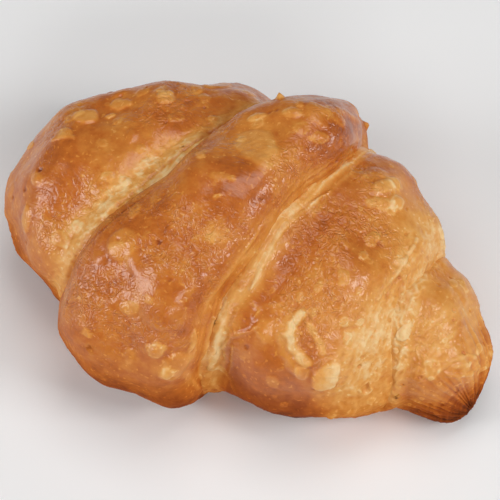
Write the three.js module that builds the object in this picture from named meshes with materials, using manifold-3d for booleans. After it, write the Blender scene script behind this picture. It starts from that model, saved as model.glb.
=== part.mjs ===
// A butter croissant, baked and browned. One triangle of dough is rolled up, so each turn lies over the
// last as a barrel-shaped wrap with a rounded lip. The widest wrap is the outermost, in the middle. A
// shoulder comes out from under it on each side, and a rolled tip out of each shoulder.
// The whole is one solid. It stands on its flat base, with +X towards the larger tip and +Z up, and its
// origin is the middle of its bounding box at the base. Lengths are millimetres, angles degrees.

import * as THREE from 'three';
import Module from 'manifold-3d';

// The line that the dough is rolled round. It bends sideways towards each end, by a sway.
const SPINE = { halfLength: 62, leftSway: 16, rightSway: -8.5, swayPower: 2.5 };

// Every wrap's section: how high its middle is as a share of its height, how much further it would
// reach below the middle than a plain ellipse if the base weren't flat, and how square it is.
const SECTION = { middle: 0.42, lowerReach: 1.45, squareness: 2.15 };
const EDGE_CLOSING = 2.5;

// Angles run round a section from 0 at the near side (-Y), over the top at 90, to 180 at the far side.
// left and right are a wrap's two edges along the spine, at its near side, top and far side. crest is
// where it is fattest, as a share of the way from left to right. near and far are its half widths.
// leftSquare and rightSquare say how abruptly it drops at its lips, and the tucks how far its end faces
// draw in. droop is the share of the middle's height that is left where the wrap ends.
const WRAPS = {
  centre: {
    left: [-33.5, -27, -19.5], right: [5, 7.5, 12.5], crest: 0.63, near: 46.5, far: 38.5, height: 52.5,
    leftSquare: 2.9, rightSquare: 2.7, leftTuck: 4, rightTuck: 1, droop: 1, rings: 50, sides: 80,
  },
  rightShoulder: {
    left: [-17.5, -5, -10.5], right: [48, 40.5, 38], crest: 0.34, near: 35, far: 34, height: 43.5,
    leftSquare: 3.3, rightSquare: 2.5, leftTuck: 0, rightTuck: 1, droop: 1, rings: 42, sides: 68,
  },
  rightTip: {
    left: [14, 14, 14], right: [58, 58, 57], crest: 0.22, near: 14.5, far: 20, height: 32.5,
    leftSquare: 2.2, rightSquare: 2.6, leftTuck: 0, rightTuck: 0, droop: 0.27, rings: 34, sides: 52,
  },
  leftShoulder: {
    left: [-56.5, -55, -44.5], right: [5, 5, 5], crest: 0.54, near: 37, far: 34, height: 44,
    leftSquare: 2.6, rightSquare: 2.5, leftTuck: 1, rightTuck: 0, droop: 1, rings: 42, sides: 68,
  },
  leftTip: {
    left: [-60, -62, -67], right: [-20, -20, -20], crest: 0.46, near: 10, far: 16.5, height: 24,
    leftSquare: 2.4, rightSquare: 2.4, leftTuck: 0, rightTuck: 0, droop: 0.4, rings: 26, sides: 40,
  },
};

// Broad soft swellings where the dough rose most. share and angle place the middle of each on its wrap,
// along and around are its reach, and lift its height.
const SWELLS = [
  { wrap: 'centre', share: 0.8, angle: 126, along: 10, around: 12, lift: 4 },
  { wrap: 'centre', share: 0.3, angle: 0, along: 14, around: 14, lift: 2.4 },
  { wrap: 'leftShoulder', share: 0.06, angle: 65, along: 12, around: 12, lift: 1.2 },
  { wrap: 'leftShoulder', share: 0.2, angle: 15, along: 12, around: 14, lift: 1 },
];

// Blisters in the crust, placed and sized in the same way. along and around are their half sizes.
const BLISTERS = [
  { wrap: 'centre', share: 0.31, angle: 51, along: 4.4, around: 4.6, lift: 1.1 },
  { wrap: 'centre', share: 0.82, angle: 14, along: 2.8, around: 4.0, lift: 1.0 },
  { wrap: 'centre', share: 0.73, angle: 23, along: 2.6, around: 2.2, lift: 1.0 },
  { wrap: 'centre', share: 0.73, angle: 38, along: 5.4, around: 4.2, lift: 1.1 },
  { wrap: 'centre', share: 0.55, angle: 99, along: 6.6, around: 5.0, lift: 1.0 },
  { wrap: 'centre', share: 0.71, angle: 69, along: 2.8, around: 2.6, lift: 0.8 },
  { wrap: 'centre', share: 0.73, angle: 119, along: 2.6, around: 3.4, lift: 0.9 },
  { wrap: 'leftShoulder', share: 0.16, angle: 79, along: 3.4, around: 3.2, lift: 1.2 },
  { wrap: 'leftShoulder', share: 0.18, angle: 65, along: 2.8, around: 2.8, lift: 1.0 },
  { wrap: 'leftShoulder', share: 0.28, angle: 105, along: 2.8, around: 3.0, lift: 1.0 },
  { wrap: 'leftShoulder', share: 0.28, angle: 136, along: 4.2, around: 5.4, lift: 1.1 },
  { wrap: 'leftShoulder', share: 0.28, angle: 25, along: 2.8, around: 3.8, lift: 0.9 },
  { wrap: 'rightShoulder', share: 0.75, angle: 27, along: 3.6, around: 5.0, lift: 1.1 },
  { wrap: 'rightShoulder', share: 0.54, angle: 117, along: 2.8, around: 2.8, lift: 0.9 },
];
const BLISTER_EDGE = 1.2;

// The crust's slow unevenness: a few crossed waves, from the longest to the shortest.
const LUMPS = { count: 7, height: 0.35, longest: 34, shortest: 13, turn: 2.399963, phase: 1.7 };

// Relief dies away towards the tray, over this height.
const RELIEF_FADE = 6;

const radians = THREE.MathUtils.degToRad;
const signedPower = (value, power) => Math.sign(value) * Math.abs(value) ** power;

// The spine's sideways place and slope at x.
function spineAt(x) {
  const q = x / SPINE.halfLength;
  const sway = q < 0 ? SPINE.leftSway : SPINE.rightSway;
  const away = Math.abs(q);
  const slope = Math.sign(q) * sway * SPINE.swayPower * away ** (SPINE.swayPower - 1);
  return { y: sway * away ** SPINE.swayPower, slope: slope / SPINE.halfLength };
}

// An edge's place along the spine at an angle, smoothly round from the near side over the top. Towards
// the wrap's end, where the radius goes to 0, the whole edge closes onto one point.
function edgeAt([near, top, far], angle, radius) {
  const middle = (near + far) / 2;
  const spread = 1 - (1 - radius) ** EDGE_CLOSING;
  return middle + spread * (((near - far) / 2) * Math.cos(angle) + (top - middle) * Math.sin(angle));
}

// A wrap's radius at a share of its length, as a share of its full radius: a superellipse each way.
function radiusAt(wrap, share) {
  const left = share < wrap.crest;
  const power = left ? wrap.leftSquare : wrap.rightSquare;
  const away = Math.abs(share - wrap.crest) / (left ? wrap.crest : 1 - wrap.crest);
  return Math.max(1 - away ** power, 0) ** (1 / power);
}

// A point of the wrap without relief, given its share, its radius and the angle round the section.
function wrapPoint(wrap, share, radius, angle) {
  const leftEdge = edgeAt(wrap.left, angle, radius);
  const tuck = (1 - radius) ** 1.5 * (share < wrap.crest ? wrap.leftTuck : -wrap.rightTuck);
  const x = leftEdge + (edgeAt(wrap.right, angle, radius) - leftEdge) * share + tuck;
  const across = signedPower(Math.cos(angle), 2 / SECTION.squareness);
  const upward = signedPower(Math.sin(angle), 2 / SECTION.squareness);
  const sideways = -(across > 0 ? wrap.near : wrap.far) * radius * across;
  const middle = SECTION.middle * wrap.height;
  const reach = upward > 0 ? wrap.height - middle : middle * SECTION.lowerReach;
  const level = middle * (wrap.droop + (1 - wrap.droop) * radius);
  const { y, slope } = spineAt(x);
  const length = Math.hypot(slope, 1);
  return new THREE.Vector3(
    x - (slope / length) * sideways,
    y + sideways / length,
    level + reach * radius * upward,
  );
}

// The rings of a wrap as pairs of share and radius, evenly spaced along its profile.
function ringPlaces(wrap) {
  const fine = 2000;
  const places = [];
  let length = 0;
  for (let i = 0; i <= fine; i += 1) {
    const turn = -Math.PI / 2 + (Math.PI * i) / fine;
    const left = turn < 0;
    const power = 2 / (left ? wrap.leftSquare : wrap.rightSquare);
    const away = Math.abs(Math.sin(turn)) ** power;
    const share = left ? wrap.crest * (1 - away) : wrap.crest + (1 - wrap.crest) * away;
    const radius = Math.max(Math.cos(turn), 0) ** power;
    if (i > 0) {
      const last = places[i - 1];
      length += Math.hypot(1.2 * (share - last.share), radius - last.radius);
    }
    places.push({ share, radius, length });
  }
  const rings = [];
  for (let k = 0; k <= wrap.rings; k += 1) {
    const wanted = (length * k) / wrap.rings;
    rings.push(places.find((place) => place.length >= wanted - 1e-9));
  }
  return rings;
}

// How a point lies to the middle of a swell or blister: squared distance, 1 at its edge.
function nearness(point, spot) {
  const wrap = WRAPS[spot.wrap];
  const middle = wrapPoint(wrap, spot.share, radiusAt(wrap, spot.share), radians(spot.angle));
  const { slope } = spineAt(middle.x);
  const alongSpine = new THREE.Vector3(1, slope, 0).normalize();
  const offset = point.clone().sub(middle);
  const along = offset.dot(alongSpine);
  const around = Math.sqrt(Math.max(offset.lengthSq() - along * along, 0));
  return (along / spot.along) ** 2 + (around / spot.around) ** 2;
}

// The crossed waves of the crust at a point.
function lumpsAt(point) {
  let height = 0;
  for (let i = 0; i < LUMPS.count; i += 1) {
    const z = 1 - (2 * (i + 0.5)) / LUMPS.count;
    const flat = Math.sqrt(1 - z * z);
    const way = new THREE.Vector3(flat * Math.cos(LUMPS.turn * i), flat * Math.sin(LUMPS.turn * i), z);
    const wave = LUMPS.longest * (LUMPS.shortest / LUMPS.longest) ** (i / (LUMPS.count - 1));
    height += LUMPS.height * Math.sin((2 * Math.PI * point.dot(way)) / wave + LUMPS.phase * i);
  }
  return height;
}

// How far the crust stands out of the plain wrap at a point.
function reliefAt(name, point) {
  let height = lumpsAt(point);
  for (const swell of SWELLS.filter((spot) => spot.wrap === name)) {
    height += swell.lift * Math.exp(-nearness(point, swell));
  }
  for (const blister of BLISTERS.filter((spot) => spot.wrap === name)) {
    height += blister.lift * Math.max(1 - nearness(point, blister), 0) ** BLISTER_EDGE;
  }
  return height * THREE.MathUtils.clamp(point.z / RELIEF_FADE, 0, 1);
}

// Triangles of a closed barrel: a pole, rings of sides points each, and a pole.
function barrelTriangles(ringCount, sides) {
  const triangles = [];
  const last = 1 + ringCount * sides;
  for (let j = 0; j < sides; j += 1) {
    const next = (j + 1) % sides;
    triangles.push(0, 1 + j, 1 + next);
    for (let i = 0; i < ringCount - 1; i += 1) {
      const here = 1 + i * sides;
      const beyond = here + sides;
      triangles.push(here + j, beyond + j, beyond + next);
      triangles.push(here + j, beyond + next, here + next);
    }
    const end = last - sides;
    triangles.push(last, end + next, end + j);
  }
  return triangles;
}

// One wrap as a closed geometry: the plain barrel, then every point moved out along its normal.
function wrapGeometry(name) {
  const wrap = WRAPS[name];
  const rings = ringPlaces(wrap).slice(1, -1);
  const points = [wrapPoint(wrap, 0, 0, 0)];
  for (const ring of rings) {
    for (let j = 0; j < wrap.sides; j += 1) {
      points.push(wrapPoint(wrap, ring.share, ring.radius, (2 * Math.PI * j) / wrap.sides));
    }
  }
  points.push(wrapPoint(wrap, 1, 0, 0));
  const geometry = new THREE.BufferGeometry().setFromPoints(points);
  geometry.setIndex(barrelTriangles(rings.length, wrap.sides));
  geometry.computeVertexNormals();
  const normals = geometry.getAttribute('normal');
  points.forEach((point, i) => {
    const outwards = new THREE.Vector3().fromBufferAttribute(normals, i);
    point.addScaledVector(outwards, reliefAt(name, point));
  });
  return new THREE.BufferGeometry().setFromPoints(points).setIndex(geometry.getIndex());
}

const wasm = await Module();
wasm.setup();

// A closed indexed geometry as a solid that can be joined and cut, and back.
function toSolid(geometry) {
  return new wasm.Manifold(new wasm.Mesh({
    numProp: 3,
    vertProperties: new Float32Array(geometry.getAttribute('position').array),
    triVerts: new Uint32Array(geometry.getIndex().array),
  }));
}

function toGeometry(solid) {
  const mesh = solid.getMesh();
  const geometry = new THREE.BufferGeometry();
  geometry.setAttribute('position', new THREE.BufferAttribute(mesh.vertProperties, mesh.numProp));
  geometry.setIndex(new THREE.BufferAttribute(mesh.triVerts, 1));
  return geometry;
}

// The closed box below the tray's surface, which the croissant is cut flat on.
function trayBox() {
  const side = 4 * SPINE.halfLength;
  const corners = [];
  for (const z of [-side, 0]) {
    for (const [x, y] of [[-1, -1], [1, -1], [1, 1], [-1, 1]]) {
      corners.push(new THREE.Vector3((x * side) / 2, (y * side) / 2, z));
    }
  }
  const faces = [
    0, 2, 1, 0, 3, 2, 4, 5, 6, 4, 6, 7, 0, 1, 5, 0, 5, 4,
    1, 2, 6, 1, 6, 5, 2, 3, 7, 2, 7, 6, 3, 0, 4, 3, 4, 7,
  ];
  return new THREE.BufferGeometry().setFromPoints(corners).setIndex(faces);
}

const wraps = Object.keys(WRAPS).map((name) => toSolid(wrapGeometry(name)));
const joined = wraps.reduce((whole, wrap) => whole.add(wrap));
const crust = toGeometry(joined.subtract(toSolid(trayBox())));

crust.computeBoundingBox();
const { min, max } = crust.boundingBox;
crust.translate(-(min.x + max.x) / 2, -(min.y + max.y) / 2, -min.z);
crust.computeVertexNormals();

const bakedDough = new THREE.MeshStandardMaterial({ color: '#c47a38', roughness: 0.45, metalness: 0 });
const mesh = new THREE.Mesh(crust, bakedDough);
mesh.name = 'croissant';

const croissant = new THREE.Group();
croissant.add(mesh);

export default croissant;
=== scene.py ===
"""A baked butter croissant in its final look, over its CAD frame.

The croissant is one roll of laminated dough. Its wraps lie over each other: a broad outer one in the
middle, a shoulder out from under it on each side, and a rolled tip out of each shoulder. Each wrap is a
closed barrel on a grid of two parameters, its share of the way from left to right and the angle round
its section. The crust's blisters, crinkles and stretched seams are relief in that surface, and how far
each point has browned, with painted shade added in creases, valleys, pits and low down, is an attribute
that its material reads. Sizes are millimetres until a mesh is made.
"""
import logging
import math
from dataclasses import dataclass, field
from enum import Enum, IntEnum
from itertools import product
from typing import Any, Sequence

import bpy
import numpy as np
from mathutils import Matrix, Vector


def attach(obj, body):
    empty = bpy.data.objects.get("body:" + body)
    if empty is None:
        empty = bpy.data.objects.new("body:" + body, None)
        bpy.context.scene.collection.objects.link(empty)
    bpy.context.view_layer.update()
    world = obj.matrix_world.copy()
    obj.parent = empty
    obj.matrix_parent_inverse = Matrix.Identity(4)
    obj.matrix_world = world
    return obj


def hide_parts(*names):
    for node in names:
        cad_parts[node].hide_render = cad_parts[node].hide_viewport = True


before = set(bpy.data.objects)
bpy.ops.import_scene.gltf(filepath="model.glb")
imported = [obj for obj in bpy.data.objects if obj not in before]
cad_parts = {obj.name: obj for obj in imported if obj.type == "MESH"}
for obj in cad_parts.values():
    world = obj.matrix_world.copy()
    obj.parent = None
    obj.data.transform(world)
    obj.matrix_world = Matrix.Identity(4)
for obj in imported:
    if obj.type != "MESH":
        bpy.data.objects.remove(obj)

Array = np.ndarray
Socket = bpy.types.NodeSocket

LOG = logging.getLogger("croissant")
MM = 0.001
BAKE_UV = "OFBake"
LAYERS = ("browning_and_shade", "glaze", "crinkle", "swirl")
FAR_AWAY = 99.0


# Small helpers.

def signed_power(value: Array, power: float) -> Array:
    """The size of value to a power, with value's own sign."""
    return np.sign(value) * np.abs(value) ** power


def ease(low: float, high: float, value: Array) -> Array:
    """A smooth step from 0 at low to 1 at high: 3 t squared less 2 t cubed."""
    t = np.clip((value - low) / (high - low), 0.0, 1.0)
    return t * t * (3.0 - 2.0 * t)


def hump(value: Array, width: float) -> Array:
    """A bell curve of height 1 round 0: e to the power of minus the square of value over width."""
    return np.exp(-((value / width) ** 2))


def linear(colour: str) -> tuple[float, float, float, float]:
    """An sRGB hex colour such as "#c0702f" as linear red, green, blue and alpha."""
    channels = []
    for start in (1, 3, 5):
        c = int(colour[start:start + 2], 16) / 255.0
        channels.append(c / 12.92 if c <= 0.04045 else ((c + 0.055) / 1.055) ** 2.4)
    return (channels[0], channels[1], channels[2], 1.0)


class Side(Enum):
    """One end of a wrap along the roll."""

    LEFT = -1
    RIGHT = 1


class SpotKind(Enum):
    """What a raised or sunk place in the crust is."""

    SWELL = "broad soft swelling, where the dough rose most"
    DOME = "blister, round on top"
    DISC = "flat blister with a crisp edge"
    OPENING = "hole between stretched films of dough, with a raised rim"
    FLAKE = "small pointed flake that stands up"
    PATCH = "broad area that browned more or less, with no relief"
    CRINKLED = "area where the glossy skin is crinkled most"


class Part(IntEnum):
    """Shifts in millimetres, each to a part of a noise field that has nothing to do with the others."""

    SMALL_RIDGES = 5
    FINE_STREAKS = 9
    NEXT_BLISTER = 13
    NEXT_LAYER = 17
    WARP_Y = 31
    FINE_CRINKLES = 40
    WARP_Z = 57
    FOLD_HEIGHT = 61
    FOLD_EDGE = 66
    CRINKLED = 90
    SWIRL = 140
    SWELLING = 200
    PUCKER = 230
    SEAM_EDGE = 300
    LIP_EDGE = 310
    STREAK_SWAY = 320
    LACE_SWAY = 340
    SLITS = 350
    PATCHES = 400
    SMALL_PATCHES = 420


class Noise:
    """Smooth gradient noise over space, the same on every run."""

    spread = 1.6

    def __init__(self, seed: int) -> None:
        """Draws the lattice's directions.

        Args:
            seed: Which field of noise this is.
        """
        chance = np.random.default_rng(seed)
        self.order = chance.permutation(256)
        ways = chance.normal(size=(256, 3))
        self.ways = ways / np.linalg.norm(ways, axis=1, keepdims=True)

    def at(self, points: Array, wave: float | Sequence[float]) -> Array:
        """Noise of about -1 to 1.

        At each corner of the lattice cell that holds a point, the corner's own direction is dotted with
        the way from the corner to the point. The eight results are mixed by a quintic fade.

        Args:
            points: Places, with x, y and z last.
            wave: The cell's size, one number or one for each axis.

        Returns:
            One number for each point.
        """
        place = points / np.asarray(wave, dtype=float)
        cell = np.floor(place).astype(np.int64)
        inside = place - cell
        fade = inside ** 3 * (inside * (inside * 6.0 - 15.0) + 10.0)
        total = np.zeros(points.shape[:-1])
        for corner in product((0, 1), repeat=3):
            key = self.order[(cell[..., 0] + corner[0]) & 255]
            key = self.order[(key + cell[..., 1] + corner[1]) & 255]
            key = self.order[(key + cell[..., 2] + corner[2]) & 255]
            dots = ((inside - corner) * self.ways[key]).sum(-1)
            total += dots * np.where(corner, fade, 1.0 - fade).prod(-1)
        return self.spread * total

    def layered(self, points: Array, wave: float, layers: int = 3) -> Array:
        """Noise at a wave and its halves, each half as strong as the last."""
        return sum(self.at(points + Part.NEXT_LAYER * i, wave / 2 ** i) / 2 ** i for i in range(layers))

    def creases(self, points: Array, wave: float | Sequence[float]) -> Array:
        """Worm-like ridges of 0 to 1: 1 less the size of the noise, squared."""
        return (1.0 - np.clip(np.abs(self.at(points, wave)), 0.0, 1.0)) ** 2


# The form, with the same sizes as the CAD part.

@dataclass(frozen=True)
class Spine:
    """The line that the dough is rolled round, which bends sideways towards each end."""

    half_length: float = 62.0
    left_sway: float = 16.0
    right_sway: float = -8.5
    sway_power: float = 2.5

    def at(self, x: Array) -> tuple[Array, Array]:
        """The spine's sideways place and slope at x: the sway times (x over half length) to a power."""
        q = x / self.half_length
        sway = np.where(q < 0, self.left_sway, self.right_sway)
        y = sway * np.abs(q) ** self.sway_power
        slope = np.sign(q) * sway * self.sway_power * np.abs(q) ** (self.sway_power - 1) / self.half_length
        return y, slope


@dataclass(frozen=True)
class Section:
    """What every wrap's section has in common: a superellipse with a flat base."""

    middle: float = 0.42
    lower_reach: float = 1.45
    squareness: float = 2.15
    edge_closing: float = 2.5
    tuck_power: float = 1.5


@dataclass(frozen=True)
class Grid:
    """How a wrap's rings and columns are spread: close where they show, and fewer elsewhere."""

    steps: int = 6001
    shown_fade: float = 0.05
    hidden_density: float = 0.15
    base_density: float = 0.25


@dataclass(frozen=True)
class Lumps:
    """The crust's slow unevenness: a few crossed waves, from the longest to the shortest."""

    count: int = 7
    height: float = 0.35
    longest: float = 34.0
    shortest: float = 13.0
    turn: float = 2.399963
    phase: float = 1.7

    def at(self, points: Array) -> Array:
        """The sum of sines along ways spread evenly over a sphere."""
        total = np.zeros(points.shape[:-1])
        for i in range(self.count):
            z = 1.0 - 2.0 * (i + 0.5) / self.count
            flat = math.sqrt(1.0 - z * z)
            way = np.array([flat * math.cos(self.turn * i), flat * math.sin(self.turn * i), z])
            wave = self.longest * (self.shortest / self.longest) ** (i / (self.count - 1))
            total += self.height * np.sin(2.0 * np.pi * (points @ way) / wave + self.phase * i)
        return total


SPINE = Spine()
SECTION = Section()
GRID = Grid()
LUMPS = Lumps()
RELIEF_FADE = 6.0


@dataclass(frozen=True)
class Spot:
    """A raised or sunk place in the crust. Angles are in degrees, lengths in millimetres.

    share and angle place its middle on its wrap, along and around are its half sizes, and turn swings
    them round. paling is how much less it has browned than the crust round it; on a sunk spot, negative
    paling is painted shade in it.
    """

    share: float
    angle: float
    along: float
    around: float
    lift: float
    kind: SpotKind = SpotKind.DOME
    paling: float = 0.0
    turn: float = 0.0


@dataclass(frozen=True)
class Fold:
    """A raised or sunk line in the crust, through places given as shares and angles on one wrap.

    It is about width wide each way, and lift high, or deep where lift is negative. A sunk line's negative
    paling is painted shade in it.
    """

    path: tuple[tuple[float, float], ...]
    width: float
    lift: float
    paling: float = 0.0


@dataclass(frozen=True)
class Seam:
    """The crust past the lip of the wrap above: a crease, then a stretched pale band, then a valley.

    band is how wide the pale part is, lace how much of its relief is lace and not streaks, and middle
    and spread the angles where it is palest and how fast that fades. fill is how far stretched dough
    fills the crease, and slits how much the crease opens in short slits. crease is how dark the painted
    shade in the crease is, and the last field how dark the painted shade in the valley is. Lengths are
    millimetres.
    """

    band: float
    paling: float
    lace: float
    middle: float = 60.0
    spread: float = 200.0
    crease: float = 0.2
    fill: float = 0.6
    slits: float = 0.3
    valley: float = 0.0
    valley_at: float = 7.0
    valley_width: float = 3.2
    valley_shade: float = 0.0


@dataclass(frozen=True)
class Lip:
    """The crust on a wrap's own lip, streaked along the seam from one radius down to another.

    lace is how much of its relief is lace and not streaks.
    """

    outer: float = 0.975
    inner: float = 0.85
    paling: float = 0.0
    streak: float = 0.1
    lace: float = 0.0


@dataclass
class Wrap:
    """One wrap of the roll, a closed barrel.

    Angles run round the section from 0 at the near side (-Y), over the top at 90, to 180 at the far
    side. left and right are its edges along the spine at its near side, top and far side. crest is where
    it is fattest, as a share of the way from left to right. shown is the range of shares that isn't
    under another wrap. over is the wrap that lies over it, and over_lip the lip of that one.
    """

    name: str
    left: tuple[float, float, float]
    right: tuple[float, float, float]
    crest: float
    near: float
    far: float
    height: float
    left_square: float
    right_square: float
    left_tuck: float = 0.0
    right_tuck: float = 0.0
    droop: float = 1.0
    rings: int = 240
    sides: int = 400
    shown: tuple[float, float] = (0.0, 1.0)
    base: float = 0.0
    seed: int = 1
    brownness: float = 0.58
    tip: float = 0.0
    over: "Wrap | None" = None
    over_lip: Side = Side.LEFT
    seam: Seam | None = None
    left_lip: Lip = field(default_factory=Lip)
    right_lip: Lip = field(default_factory=Lip)
    spots: list[Spot] = field(default_factory=list)
    folds: list[Fold] = field(default_factory=list)

    def edge(self, ends: tuple[float, float, float], angle: Array, radius: Array) -> Array:
        """An edge's place along the spine, smoothly round the section, closing onto one point.

        Args:
            ends: The edge at the near side, the top and the far side.
            angle: The angle round the section.
            radius: The radius as a share of the full one. The edge closes up as it goes to 0.

        Returns:
            The place along the spine.
        """
        near, top, far = ends
        middle = (near + far) / 2
        spread = 1.0 - (1.0 - radius) ** SECTION.edge_closing
        return middle + spread * ((near - far) / 2 * np.cos(angle) + (top - middle) * np.sin(angle))

    def radius_at(self, share: Array) -> Array:
        """The radius at a share of the length: a superellipse on each side of the crest."""
        left = share < self.crest
        power = np.where(left, self.left_square, self.right_square)
        away = np.abs(share - self.crest) / np.where(left, self.crest, 1.0 - self.crest)
        return np.clip(1.0 - away ** power, 0.0, None) ** (1.0 / power)

    def point(self, share: Array, radius: Array, angle: Array) -> Array:
        """Points of the plain barrel.

        The section is a superellipse round a middle height. It stands across the spine, which is bent.

        Args:
            share: The share of the way from the left edge to the right one.
            radius: The radius there as a share of the full one.
            angle: The angle round the section, in radians.

        Returns:
            Places with x, y and z last.
        """
        left = self.edge(self.left, angle, radius)
        right = self.edge(self.right, angle, radius)
        tuck = np.where(share < self.crest, self.left_tuck, -self.right_tuck)
        x = left + (right - left) * share + (1.0 - radius) ** SECTION.tuck_power * tuck
        across = signed_power(np.cos(angle), 2.0 / SECTION.squareness)
        upward = signed_power(np.sin(angle), 2.0 / SECTION.squareness)
        sideways = -np.where(across > 0, self.near, self.far) * radius * across
        middle = SECTION.middle * self.height
        reach = np.where(upward > 0, self.height - middle, middle * SECTION.lower_reach)
        level = middle * (self.droop + (1.0 - self.droop) * radius)
        y, slope = SPINE.at(x)
        length = np.hypot(slope, 1.0)
        places = (x - slope / length * sideways, y + sideways / length, level + reach * radius * upward)
        return np.stack(np.broadcast_arrays(*places), axis=-1)

    def gap(self, points: Array, lip: Side) -> Array:
        """How far points lie past one of this wrap's lips, along the roll. Under the wrap it is negative.

        The points are taken back to the spine by a few steps of x = X + slope x offset. Their radius and
        angle in this wrap's section give the place along the spine where its own surface has that radius.

        Args:
            points: Places with x, y and z last.
            lip: Which lip.

        Returns:
            One distance for each point.
        """
        x = points[..., 0]
        for _ in range(4):
            y, slope = SPINE.at(x)
            offset = (points[..., 1] - y) * np.hypot(slope, 1.0)
            x = points[..., 0] + slope / np.hypot(slope, 1.0) * offset
        middle = SECTION.middle * self.height
        across = -offset / np.where(offset < 0, self.near, self.far)
        reach = np.where(points[..., 2] > middle, self.height - middle, middle * SECTION.lower_reach)
        upward = (points[..., 2] - middle) / reach
        square = SECTION.squareness
        radius = np.clip((np.abs(across) ** square + np.abs(upward) ** square) ** (1 / square), 0, 0.999)
        angle = np.arctan2(signed_power(upward, square / 2), signed_power(across, square / 2))
        left = self.edge(self.left, angle, radius)
        width = self.edge(self.right, angle, radius) - left
        if lip is Side.LEFT:
            power = self.left_square
            share = self.crest * (1.0 - (1.0 - radius ** power) ** (1.0 / power))
            return left + width * share + (1.0 - radius) ** SECTION.tuck_power * self.left_tuck - x
        power = self.right_square
        share = self.crest + (1.0 - self.crest) * (1.0 - radius ** power) ** (1.0 / power)
        return x - left - width * share + (1.0 - radius) ** SECTION.tuck_power * self.right_tuck

    def ring_places(self) -> tuple[Array, Array]:
        """Shares and radii of the rings, poles included, even along the profile and closer where shown."""
        turn = np.linspace(-np.pi / 2, np.pi / 2, GRID.steps)
        left = turn < 0
        power = 2.0 / np.where(left, self.left_square, self.right_square)
        away = np.abs(np.sin(turn)) ** power
        share = np.where(left, self.crest * (1.0 - away), self.crest + (1.0 - self.crest) * away)
        radius = np.clip(np.cos(turn), 0.0, None) ** power
        long = self.right[1] - self.left[1]
        steps = np.hypot(np.diff(share) * long, np.diff(radius) * self.height)
        middles = (share[1:] + share[:-1]) / 2
        seen = ease(self.shown[0] - GRID.shown_fade, self.shown[0], middles)
        seen = seen * (1.0 - ease(self.shown[1], self.shown[1] + GRID.shown_fade, middles))
        density = GRID.hidden_density + (1.0 - GRID.hidden_density) * seen
        length = np.concatenate([[0.0], np.cumsum(steps * density)])
        wanted = np.linspace(0.0, length[-1], self.rings + 2)
        return np.interp(wanted, length, share), np.interp(wanted, length, radius)

    def side_angles(self) -> Array:
        """The angles of the columns, from the bottom round, even along the section above the base."""
        angle = np.linspace(-np.pi / 2, 3 * np.pi / 2, GRID.steps)
        full = self.point(np.array(self.crest), np.array(1.0), angle)
        full[:, 2] = np.maximum(full[:, 2], 0.0)
        steps = np.linalg.norm(np.diff(full, axis=0), axis=1)
        flat = (full[1:, 2] <= 0.0) & (full[:-1, 2] <= 0.0)
        length = np.concatenate([[0.0], np.cumsum(steps * np.where(flat, GRID.base_density, 1.0))])
        wanted = np.linspace(0.0, length[-1], self.sides + 1)[:-1]
        return np.interp(wanted, length, angle)


def outward(grid: Array) -> Array:
    """The unit normals of a closed barrel's grid, from the cross product of its two directions."""
    along = np.gradient(grid, axis=0)
    around = np.roll(grid, -1, axis=1) - np.roll(grid, 1, axis=1)
    normal = np.cross(along, around)
    length = np.linalg.norm(normal, axis=-1, keepdims=True)
    return normal / np.maximum(length, 1e-9)


# The crust: its relief and how far it has browned.

@dataclass
class Skin:
    """One wrap's surface as arrays, with a row for each ring and a column for each side.

    browning_and_shade is how far each point has browned, plus the painted shade added in creases,
    valleys, pits, sunk lines, between crinkles and low down; glaze how thick the brushed egg lies on it,
    crinkle how strongly that is crinkled, and swirl whether the crinkles are worm-like or run along the
    roll, all from 0 to 1. run is the way along the profile from the left end, and gap the way past the lip
    of the wrap above, in millimetres.
    """

    wrap: Wrap
    share: Array
    radius: Array
    angle: Array
    places: Array
    browning_and_shade: Array
    glaze: Array
    crinkle: Array
    swirl: Array
    run: Array
    gap: Array

    @classmethod
    def plain(cls, wrap: Wrap) -> "Skin":
        """The plain barrel's arrays."""
        shares, radii = wrap.ring_places()
        long = wrap.right[1] - wrap.left[1]
        steps = np.hypot(np.diff(shares) * long, np.diff(radii) * wrap.height)
        shape = (wrap.rings, wrap.sides)
        share = np.broadcast_to(shares[1:-1, None], shape)
        radius = np.broadcast_to(radii[1:-1, None], shape)
        run = np.broadcast_to(np.cumsum(steps)[:-1, None], shape)
        angle = np.broadcast_to(wrap.side_angles()[None, :], shape)
        places = wrap.point(share, radius, angle)
        return cls(wrap, share, radius, angle, places, np.full(shape, wrap.brownness), np.ones(shape),
                   np.zeros(shape), np.zeros(shape), run, np.full(shape, FAR_AWAY))

    def raise_by(self, height: Array, fade_height: float = RELIEF_FADE) -> None:
        """Moves the points out along their normals, less and less towards the tray."""
        fade = np.clip(self.places[..., 2] / fade_height, 0.0, 1.0)
        self.places = self.places + outward(self.places) * (height * fade)[..., None]


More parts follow.
